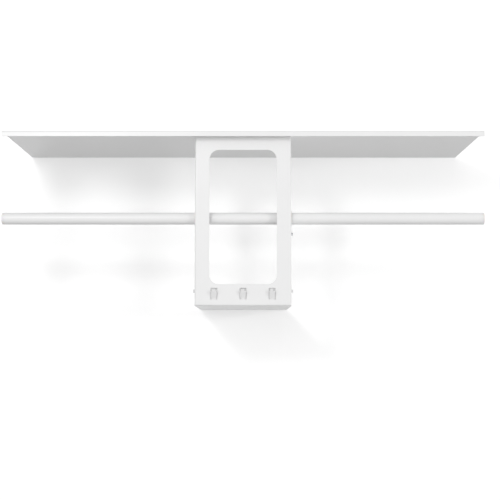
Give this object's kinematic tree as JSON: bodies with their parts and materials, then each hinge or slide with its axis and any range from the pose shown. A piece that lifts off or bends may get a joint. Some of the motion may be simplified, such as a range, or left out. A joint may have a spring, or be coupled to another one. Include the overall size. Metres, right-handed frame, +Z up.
{
  "type": "wall hook rack",
  "caption": "Wall hook rack of folded sheet steel: hat shelf with a front lip, windowed console under its middle with hook tongues, and a round hanging rail through the console.",
  "frame": {"origin": "on the wall plane, in the middle of the upper row of wall screws, 20 mm above the shelf's deck", "axes": "+X to the right as seen from the room, +Y into the wall, +Z up; the room and the rack's front lie towards -Y"},
  "size_m": [1.01, 0.3, 0.4],
  "materials": {
    "white_steel": "white powder coat, semi-gloss with a fine texture",
    "white_screws": "white lacquer, satin",
    "white_nylon": "moulded nylon, satin",
    "zinc_steel": "bright zinc plate"
  },
  "bodies": {
    "root": {"shelf_panel": "white_steel", "shelf_studs": "zinc_steel", "shelf_nuts": "zinc_steel", "console_body": "white_steel", "hanging_rail": "white_steel", "rail_cap_left": "white_nylon", "rail_cap_right": "white_nylon", "rail_bush_left": "white_nylon", "rail_bush_right": "white_nylon", "rail_locking_plate": "zinc_steel", "locking_screw": "zinc_steel", "locking_nut": "zinc_steel", "hook_bar": "white_steel", "hook_left": "white_steel", "hook_centre": "white_steel", "hook_right": "white_steel", "hook_rivets": "zinc_steel", "bar_screws": "white_screws", "bar_nuts": "zinc_steel"}
  },
  "joints": []
}
